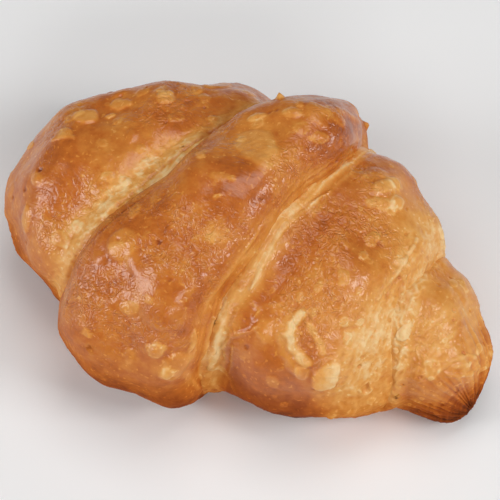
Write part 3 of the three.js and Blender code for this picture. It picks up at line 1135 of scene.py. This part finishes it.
@dataclass
class Croissant:
    """The whole croissant: its wraps from the outermost in, their relief and their crust."""

    relief: CrustRelief = field(default_factory=CrustRelief)
    crust: BakedCrust = field(default_factory=BakedCrust)

    def __post_init__(self) -> None:
        """Names the wraps, each with its sizes, seam, spots and folds."""
        self.centre = self.make_centre()
        self.right_shoulder = self.make_right_shoulder()
        self.right_tip = self.make_right_tip()
        self.left_shoulder = self.make_left_shoulder()
        self.left_tip = Wrap(
            "left_tip", (-60, -62, -67), (-20, -20, -20), 0.46, 10, 16.5, 24, 2.4, 2.4, droop=0.4,
            rings=150, sides=260, shown=(0.0, 0.5), base=0.5, seed=5, brownness=0.52, tip=-1.0,
            over=self.left_shoulder, over_lip=Side.LEFT, seam=Seam(4.0, 0.22, 0.4, fill=1.5))
        self.wraps = [self.centre, self.right_shoulder, self.right_tip, self.left_shoulder,
                      self.left_tip]

    def make_centre(self) -> Wrap:
        """The broad outer wrap in the middle."""
        kinds = SpotKind
        return Wrap(
            "centre", (-33.5, -27, -19.5), (5, 7.5, 12.5), 0.63, 46.5, 38.5, 52.5, 2.9, 2.7, 4.0, 1.0,
            rings=250, sides=390, seed=1, brownness=0.55,
            left_lip=Lip(0.80, 0.55, 0.04, 0.10), right_lip=Lip(0.95, 0.80, 0.14, 0.30), spots=[
                Spot(0.80, 126, 10, 12, 4.0, kinds.SWELL),
                Spot(0.30, 0, 14, 14, 2.4, kinds.SWELL),
                # The largest blisters: a disc on the left flank, a flat one on top, an amber one low down.
                Spot(0.31, 51, 4.6, 4.3, 0.8, kinds.DISC, 0.16, 139),
                Spot(0.30, 49, 2.3, 1.9, 0.3, kinds.DISC, 0.12, 50),
                Spot(0.55, 99, 6.6, 4.7, 0.7, kinds.DISC, 0.16, 161),
                Spot(0.73, 38, 5.4, 3.8, 0.6, kinds.DISC, 0.05, 22),
                Spot(0.83, 14, 2.7, 3.9, 1.0, kinds.DOME, 0.16, 0),
                Spot(0.80, 12, 1.2, 1.8, 0.6, kinds.DOME, 0.26, 0),
                # Smaller pale ones, from the left flank over the top to the far side.
                Spot(0.73, 23, 2.3, 1.7, 0.9, kinds.DOME, 0.30, 41),
                Spot(0.87, 27, 2.9, 0.8, 0.7, kinds.DOME, 0.26, 95),
                Spot(0.71, 69, 3.2, 2.2, 0.6, kinds.PATCH, 0.26, 18),
                Spot(0.70, 68, 1.6, 1.2, 0.3, kinds.DOME, 0.06, 18),
                Spot(0.23, 62, 2.3, 1.7, 0.4, kinds.DISC, 0.18, 142),
                Spot(0.53, 34, 2.8, 1.9, 0.4, kinds.DISC, 0.16, 31),
                Spot(0.60, 41, 1.4, 1.1, 0.4, kinds.DISC, 0.18, 166),
                Spot(0.41, 16, 1.5, 0.9, 0.4, kinds.DISC, 0.26, 178),
                Spot(0.30, 88, 1.8, 1.1, 0.5, kinds.DOME, 0.28, 151),
                Spot(0.60, 85, 0.9, 0.7, 0.4, kinds.DOME, 0.34, 5),
                Spot(0.59, 79, 0.6, 0.9, 0.4, kinds.DOME, 0.36, 131),
                Spot(0.52, 84, 2.2, 1.5, 0.2, kinds.DISC, 0.12, 30),
                Spot(0.38, 111, 2.1, 1.3, 0.6, kinds.DOME, 0.24, 14),
                Spot(0.60, 115, 2.5, 1.4, 0.7, kinds.DOME, 0.22, 15),
                Spot(0.60, 120, 1.4, 0.8, 0.5, kinds.DOME, 0.24, 121),
                Spot(0.73, 119, 3.1, 2.2, 0.6, kinds.DISC, 0.14, 112),
                Spot(0.81, 113, 2.2, 1.0, 0.7, kinds.DOME, 0.28, 52),
                Spot(0.80, 126, 9, 10, 0.0, kinds.PATCH, -0.13),
                Spot(0.53, 101, 8, 7, 0.0, kinds.PATCH, 0.07),
                # Flakes at the far edge, a pore sunk and darkened by painted shade, and a slit.
                Spot(0.41, 123, 0.9, 0.9, 1.6, kinds.FLAKE, 0.30),
                Spot(0.78, 171, 1.0, 1.0, 1.4, kinds.FLAKE, 0.20),
                Spot(0.47, 59, 0.6, 0.5, -0.4, kinds.DOME, -0.30),
                Spot(0.44, 10, 0.7, 1.2, 0.4, kinds.OPENING, 0.10, 30),
                # Where the colour and the crinkles are strongest.
                # Darker low on the near side: painted shade on the low faces.
                Spot(0.55, -8, 12.0, 9.0, 0.0, kinds.PATCH, -0.12),
                Spot(0.84, 124, 7.0, 8.0, 0.0, kinds.PATCH, -0.08),
                Spot(0.60, 122, 8.0, 9.0, 0.0, kinds.PATCH, 0.10),
                Spot(0.40, 34, 6.0, 6.0, 0.0, kinds.CRINKLED, 0.06),
                Spot(0.47, 55, 5.0, 4.0, 0.0, kinds.CRINKLED, 0.05),
                Spot(0.60, 64, 6.0, 5.0, 0.0, kinds.CRINKLED, 0.0),
                Spot(0.78, 99, 3.8, 2.4, 0.0, kinds.CRINKLED, 0.12, 38),
                Spot(0.84, 91, 3.0, 4.0, 0.0, kinds.CRINKLED, 0.04),
            ], folds=[
                Fold(((0.77, 128), (0.80, 134), (0.83, 142)), 0.8, 0.4, 0.14),
                # Webs of stretched dough at the foot of the seam.
                Fold(((0.93, 42), (0.92, 34), (0.92, 23), (0.92, 10), (0.91, -13), (0.88, -30)), 0.4, 0.6,
                     0.26),
                # A sunk slit among the webs, darkened by painted shade.
                Fold(((0.93, 44), (0.925, 38), (0.92, 35)), 0.25, -0.4, -0.20),
                # Layers that show as sunk lines along the left lip, darkened by painted shade.
                Fold(((0.16, 28), (0.17, 41), (0.18, 50), (0.17, 59), (0.20, 70)), 0.35, -0.3, -0.12),
            ])

    def make_right_shoulder(self) -> Wrap:
        """The shoulder between the middle and the tip that shows."""
        kinds = SpotKind
        return Wrap(
            "right_shoulder", (-17.5, -5, -10.5), (48, 40.5, 38), 0.34, 35, 34, 43.5, 3.3, 2.5, 0.0, 1.0,
            rings=240, sides=390, shown=(0.22, 1.0), base=0.25, seed=2, brownness=0.52,
            over=self.centre, over_lip=Side.RIGHT, right_lip=Lip(0.93, 0.74, 0.26, 0.30, 0.6),
            seam=Seam(4.8, 0.31, 0.2, crease=0.16, fill=1.5, slits=0.6, valley=0.9, valley_at=8.0,
                      valley_shade=0.12), spots=[
                # The blisters low on the near side.
                Spot(0.77, 27, 2.7, 4.4, 1.5, kinds.DISC, 0.22),
                Spot(0.68, 29, 2.0, 1.5, 0.7, kinds.DOME, 0.18, 128),
                Spot(0.58, 17, 1.6, 2.1, 0.3, kinds.DISC, 0.12),
                Spot(0.61, 45, 2.4, 2.6, 0.7, kinds.DOME, 0.0),
                # Lumps over the top, each pale.
                Spot(0.79, 53, 1.3, 1.0, 0.6, kinds.DOME, 0.22, 89),
                Spot(0.81, 63, 1.1, 0.9, 0.5, kinds.DOME, 0.22, 65),
                Spot(0.75, 60, 1.2, 0.9, 0.6, kinds.DOME, 0.22, 113),
                Spot(0.65, 76, 1.7, 1.3, 0.6, kinds.DOME, 0.20, 122),
                Spot(0.66, 96, 2.4, 1.6, 0.6, kinds.DOME, 0.22, 94),
                Spot(0.67, 88, 1.3, 1.0, 0.4, kinds.DOME, 0.20, 89),
                Spot(0.52, 61, 1.2, 0.8, 0.5, kinds.DOME, 0.18, 127),
                Spot(0.57, 68, 1.3, 1.0, 0.5, kinds.DOME, 0.18, 120),
                Spot(0.60, 58, 1.1, 0.9, 0.5, kinds.DOME, 0.18, 126),
                Spot(0.56, 119, 3.6, 1.9, 0.8, kinds.DISC, 0.20, 64),
                Spot(0.60, 126, 2.0, 1.7, 0.6, kinds.DISC, 0.16, 20),
                Spot(0.66, 119, 2.2, 1.8, 0.8, kinds.DOME, 0.26, 82),
                Spot(0.60, 112, 3.4, 1.5, 0.7, kinds.DOME, 0.20, 40),
                # Openings between the webs at the foot of the seam, and a ring at the foot of the lip.
                Spot(0.32, 18, 1.4, 3.2, -0.6, kinds.DOME, 0.10, 8),
                Spot(0.36, -2, 2.4, 4.4, -0.5, kinds.DOME, 0.14),
                Spot(0.92, 14, 0.9, 1.6, 0.4, kinds.OPENING, 0.16),
                Spot(0.93, 0, 1.0, 1.2, 0.6, kinds.DOME, 0.15),
                Spot(0.88, -6, 1.2, 1.0, 0.6, kinds.DOME, 0.10),
                Spot(0.95, -12, 0.9, 1.1, 0.7, kinds.DOME, 0.12),
                Spot(0.82, -10, 1.3, 0.8, 0.5, kinds.DOME, 0.08),
                # Where the colour and the crinkles are strongest.
                # Darker low on the near side: painted shade on the low faces.
                Spot(0.66, -8, 14.0, 11.0, 0.0, kinds.PATCH, -0.20),
                Spot(0.70, 70, 6.0, 9.0, 0.0, kinds.PATCH, 0.07),
                Spot(0.66, 122, 8.0, 9.0, 0.0, kinds.PATCH, 0.11),
                Spot(0.90, 60, 4.5, 9.0, 0.0, kinds.PATCH, 0.12),
                Spot(0.50, 88, 5.0, 5.0, 0.0, kinds.CRINKLED, 0.0),
                Spot(0.50, 70, 5.0, 7.0, 0.0, kinds.CRINKLED, 0.04),
                Spot(0.65, 64, 6.0, 6.0, 0.0, kinds.CRINKLED, 0.06),
            ], folds=[
                # The long curved ridge on the near side, and the shorter one to the right of it.
                Fold(((0.565, 55), (0.55, 50), (0.56, 45), (0.60, 40), (0.65, 37), (0.68, 35)), 1.2, 1.2,
                     0.42),
                Fold(((0.53, 52), (0.52, 47), (0.535, 42), (0.58, 36), (0.63, 33), (0.66, 30)), 1.5, 0.6,
                     0.14),
                Fold(((0.62, 52), (0.67, 48), (0.71, 45), (0.73, 42)), 0.9, 0.3, 0.22),
                Fold(((0.33, 32), (0.38, 37), (0.42, 43)), 0.6, 0.3, 0.14),
                Fold(((0.34, 50), (0.38, 49), (0.38, 46)), 0.6, 0.25, 0.16),
                # A short sunk line, darkened by painted shade.
                Fold(((0.75, 56), (0.78, 58), (0.81, 60)), 0.3, -0.2, -0.10),
                # The ridge that follows the seam, and webs at its foot.
                Fold(((0.30, 55), (0.28, 67), (0.27, 78), (0.28, 85), (0.31, 94), (0.35, 104)), 0.5, 0.5,
                     0.12),
                Fold(((0.33, 30), (0.31, 17), (0.315, 6), (0.36, 3), (0.40, 2), (0.44, -5)), 0.34, 0.45,
                     0.14),
                Fold(((0.36, 27), (0.38, 16), (0.39, 5)), 0.32, 0.35, 0.12),
                Fold(((0.31, 1), (0.31, -9), (0.33, -22)), 0.34, 0.35, 0.12),
                # Ridges that part on the lip above the tip.
                Fold(((0.83, 115), (0.84, 99), (0.84, 92), (0.83, 84), (0.83, 77)), 0.5, 0.45, 0.14),
                Fold(((0.88, 96), (0.91, 91), (0.92, 84)), 0.45, 0.4, 0.14),
            ])

    def make_right_tip(self) -> Wrap:
        """The rolled tip that shows, golden on top and dark at its end."""
        kinds = SpotKind
        return Wrap(
            "right_tip", (14, 14, 14), (58, 58, 57), 0.22, 14.5, 20, 32.5, 2.2, 2.6, droop=0.27,
            rings=220, sides=350, shown=(0.45, 1.0), base=0.5, seed=4, brownness=0.36, tip=1.0,
            over=self.right_shoulder, over_lip=Side.RIGHT,
            seam=Seam(2.6, 0.18, 0.8, middle=60, spread=50, crease=0.0, fill=2.0, slits=0.8), spots=[
                Spot(0.96, 113, 1.9, 0.8, 0.5, kinds.DOME, 0.24, 81),
                Spot(0.74, 80, 4.5, 5.5, 0.0, kinds.CRINKLED, 0.06),
                Spot(0.80, 30, 7.0, 6.0, 0.0, kinds.PATCH, -0.10),
                Spot(0.80, 120, 9.0, 9.0, 0.0, kinds.PATCH, 0.08),
            ], folds=[
                # A shallow spiral where the innermost layers end.
                Fold(((0.845, 60), (0.86, 78), (0.885, 95), (0.92, 106), (0.945, 108)), 0.5, 0.35, 0.10),
                Fold(((0.845, 60), (0.875, 62), (0.915, 75), (0.94, 92), (0.945, 108)), 0.5, 0.35, 0.08),
                Fold(((0.88, 75), (0.90, 85), (0.915, 95)), 0.4, 0.25, 0.08),
            ])

    def make_left_shoulder(self) -> Wrap:
        """The large rounded lobe at the left."""
        kinds = SpotKind
        return Wrap(
            "left_shoulder", (-56.5, -55, -44.5), (5, 5, 5), 0.54, 37, 34, 44, 2.6, 2.5, 1.0, 0.0,
            rings=240, sides=390, shown=(0.0, 0.58), base=0.25, seed=3, brownness=0.55,
            over=self.centre, over_lip=Side.LEFT, left_lip=Lip(0.80, 0.50, 0.05, 0.10),
            seam=Seam(5.0, 0.36, 0.75, middle=60, spread=48, crease=0.24, fill=1.2), spots=[
                Spot(0.06, 65, 12, 12, 1.2, kinds.SWELL),
                Spot(0.20, 15, 12, 14, 1.0, kinds.SWELL),
                # Blisters along the top and down the left side.
                Spot(0.16, 79, 3.3, 2.9, 1.1, kinds.DISC, 0.19, 155),
                Spot(0.18, 65, 2.9, 1.8, 0.9, kinds.DISC, 0.24, 55),
                Spot(0.16, 92, 4.2, 1.6, 0.7, kinds.DISC, 0.16, 45),
                Spot(0.19, 86, 1.5, 1.0, 0.5, kinds.DOME, 0.28, 58),
                Spot(0.28, 105, 3.0, 1.9, 0.8, kinds.DISC, 0.22, 75),
                Spot(0.24, 107, 3.6, 2.2, 0.4, kinds.DISC, 0.08, 54),
                Spot(0.28, 136, 5.0, 3.6, 0.9, kinds.DISC, 0.14, 73),
                Spot(0.28, 25, 3.7, 2.2, 0.8, kinds.DISC, 0.20, 124),
                Spot(0.08, 40, 2.9, 1.4, 0.4, kinds.DISC, 0.26, 17),
                Spot(0.23, 44, 2.6, 1.1, 0.3, kinds.DISC, 0.10, 172),
                # Cream lumps beside the seam.
                Spot(0.45, 70, 1.5, 1.2, 0.4, kinds.DOME, 0.18, 66),
                Spot(0.45, 80, 1.8, 1.1, 0.4, kinds.DOME, 0.18, 90),
                Spot(0.40, 67, 1.5, 1.1, 0.4, kinds.DOME, 0.18, 24),
                Spot(0.40, 83, 1.2, 1.1, 0.4, kinds.DOME, 0.16, 20),
                Spot(0.42, 43, 1.8, 1.5, 0.4, kinds.DOME, 0.16, 45),
                Spot(0.50, 110, 1.9, 1.3, 0.4, kinds.DOME, 0.20, 39),
                # Where the colour is strongest and the skin crinkled.
                Spot(0.36, 36, 5.0, 6.0, 0.0, kinds.CRINKLED, 0.06),
                Spot(0.38, 68, 5.0, 9.0, 0.0, kinds.PATCH, 0.08),
            ])

    def offset(self, skins: list[Skin]) -> Array:
        """What moves the wraps so that their box is centred over the origin, as in the CAD part."""
        low = np.min([s.places.reshape(-1, 3).min(0) for s in skins], axis=0)
        high = np.max([s.places.reshape(-1, 3).max(0) for s in skins], axis=0)
        return np.array([-(low[0] + high[0]) / 2, -(low[1] + high[1]) / 2, 0.0])

    def build(self) -> Array:
        """Builds, dresses and places every wrap.

        Returns:
            How far the wraps' own centre line was moved to centre the whole, in millimetres.
        """
        skins = [Skin.plain(wrap) for wrap in self.wraps]
        for skin in skins:
            self.relief.swell(skin)
        moved = self.offset(skins)
        LOG.info("centred by %s mm", np.round(moved, 2))
        for skin in skins:
            wrap = skin.wrap
            noise = Noise(wrap.seed)
            if wrap.over is not None:
                skin.gap = wrap.over.gap(skin.places, wrap.over_lip)
            self.relief.blister(skin, noise)
            self.relief.crinkle(skin, noise)
            self.finish_piece(skin, moved)
        return moved

    def finish_piece(self, skin: Skin, moved: Array) -> None:
        """Turns a finished skin into a piece that rides the part and stands for its solid.

        Args:
            skin: The finished surface.
            moved: How far it is moved, in millimetres.
        """
        wrap = skin.wrap
        poles = [ring.mean(axis=0) + moved for ring in (skin.places[0], skin.places[-1])]
        piece = barrel_object(wrap.name, poles[0], skin.places + moved, poles[1])
        for name in LAYERS:
            values = getattr(skin, name)
            whole = np.concatenate([[values[0].mean()], values.ravel(), [values[-1].mean()]])
            layer = piece.data.attributes.new(name, "FLOAT", "POINT")
            layer.data.foreach_set("value", np.clip(whole, 0.0, 1.0).astype(np.float32))
        piece.data.materials.append(self.crust.material(f"baked_crust_{wrap.name}"))
        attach(piece, "root")
        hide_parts("croissant")
        LOG.info("%s: %d triangles, browning %.2f to %.2f", wrap.name, 2 * wrap.rings * wrap.sides,
                 skin.browning_and_shade.min(), skin.browning_and_shade.max())


# The studio.

@dataclass(frozen=True)
class Softbox:
    """A rectangular soft light that faces the croissant. Angles are degrees, lengths millimetres.

    azimuth runs from the near side (-Y) towards the right end (+X), and elevation up from the floor.
    """

    name: str
    azimuth: float
    elevation: float
    distance: float
    width: float
    height: float
    watts: float

    def build(self) -> None:
        """Puts the light in the scene."""
        data = bpy.data.lights.new(self.name, "AREA")
        data.shape = "RECTANGLE"
        data.size = self.width * MM
        data.size_y = self.height * MM
        data.energy = self.watts
        lamp = bpy.data.objects.new(self.name, data)
        bpy.context.collection.objects.link(lamp)
        a, e = math.radians(self.azimuth), math.radians(self.elevation)
        way = Vector((math.sin(a) * math.cos(e), -math.cos(a) * math.cos(e), math.sin(e)))
        lamp.location = way * self.distance * MM
        lamp.rotation_euler = way.to_track_quat("Z", "Y").to_euler()


SOFTBOXES = (
    Softbox("left", -50.0, 25.0, 1100.0, 420.0, 580.0, 4.7),
    Softbox("front", 38.0, 37.0, 1100.0, 620.0, 240.0, 2.8),
    Softbox("right", 98.0, 40.0, 1100.0, 420.0, 340.0, 4.2),
    Softbox("top", 180.0, 76.0, 1100.0, 600.0, 600.0, 3.2),
)


@dataclass
class Studio:
    """A pale floor, soft light from above, and the camera at the photograph's angle."""

    azimuth: float = 28.5
    elevation: float = 60.0
    distance: float = 700.0
    pixels_per_mm: float = 4.25
    frame_pixels: float = 500.0
    aim_pixel: tuple[float, float] = (268.5, 245.5)
    aim_height: float = 22.0
    sensor: float = 36.0
    floor_side: float = 4000.0
    floor_colour: str = "#f7f7f7"
    floor_roughness: float = 0.9
    sky: float = 0.12
    clip_start: float = 50.0
    clip_end: float = 20000.0

    def ways(self) -> tuple[Array, Array, Array]:
        """The camera's right, up and back directions."""
        a, e = math.radians(self.azimuth), math.radians(self.elevation)
        back = np.array([math.sin(a) * math.cos(e), -math.cos(a) * math.cos(e), math.sin(e)])
        right = np.array([math.cos(a), math.sin(a), 0.0])
        return right, np.cross(back, right), back

    def build_camera(self, moved: Array) -> None:
        """Puts the camera where the croissant's middle falls on its place in the photograph.

        Args:
            moved: How far the croissant's centre line was moved, in millimetres.
        """
        right, up, back = self.ways()
        half = self.frame_pixels / 2
        aim = moved + np.array([0.0, 0.0, self.aim_height])
        aim = aim + right * (half - self.aim_pixel[0]) / self.pixels_per_mm
        aim = aim - up * (half - self.aim_pixel[1]) / self.pixels_per_mm
        data = bpy.data.cameras.new("camera")
        data.sensor_width = self.sensor
        data.lens = self.pixels_per_mm * self.distance / self.frame_pixels * self.sensor
        data.clip_start = self.clip_start * MM
        data.clip_end = self.clip_end * MM
        camera = bpy.data.objects.new("camera", data)
        bpy.context.collection.objects.link(camera)
        turn = Matrix((right, up, back)).transposed()
        camera.matrix_world = Matrix.Translation(Vector((aim + self.distance * back) * MM)) @ turn.to_4x4()
        bpy.context.scene.camera = camera

    def build_floor(self) -> None:
        """A plain pale floor under the croissant."""
        side = self.floor_side * MM / 2
        mesh = bpy.data.meshes.new("floor")
        mesh.from_pydata([(-side, -side, 0), (side, -side, 0), (side, side, 0), (-side, side, 0)], [],
                         [(0, 1, 2, 3)])
        floor = bpy.data.objects.new("floor", mesh)
        bpy.context.collection.objects.link(floor)
        paint = bpy.data.materials.new("pale_floor")
        paint.use_nodes = True
        shader = paint.node_tree.nodes["Principled BSDF"]
        shader.inputs["Base Color"].default_value = linear(self.floor_colour)
        shader.inputs["Roughness"].default_value = self.floor_roughness
        mesh.materials.append(paint)

    def build(self, moved: Array) -> None:
        """Builds the floor, the lights, the sky and the camera."""
        self.build_floor()
        for softbox in SOFTBOXES:
            softbox.build()
        world = bpy.data.worlds.new("studio")
        world.use_nodes = True
        world.node_tree.nodes["Background"].inputs["Color"].default_value = (1.0, 1.0, 1.0, 1.0)
        world.node_tree.nodes["Background"].inputs["Strength"].default_value = self.sky
        bpy.context.scene.world = world
        bpy.context.scene.view_settings.view_transform = "Standard"
        self.build_camera(moved)


def main() -> None:
    """Builds the croissant and the studio."""
    logging.basicConfig(level=logging.INFO, format="%(name)s: %(message)s")
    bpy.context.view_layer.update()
    moved = Croissant().build()
    Studio().build(moved)
    bpy.context.view_layer.update()


if __name__ == "__main__":
    main()
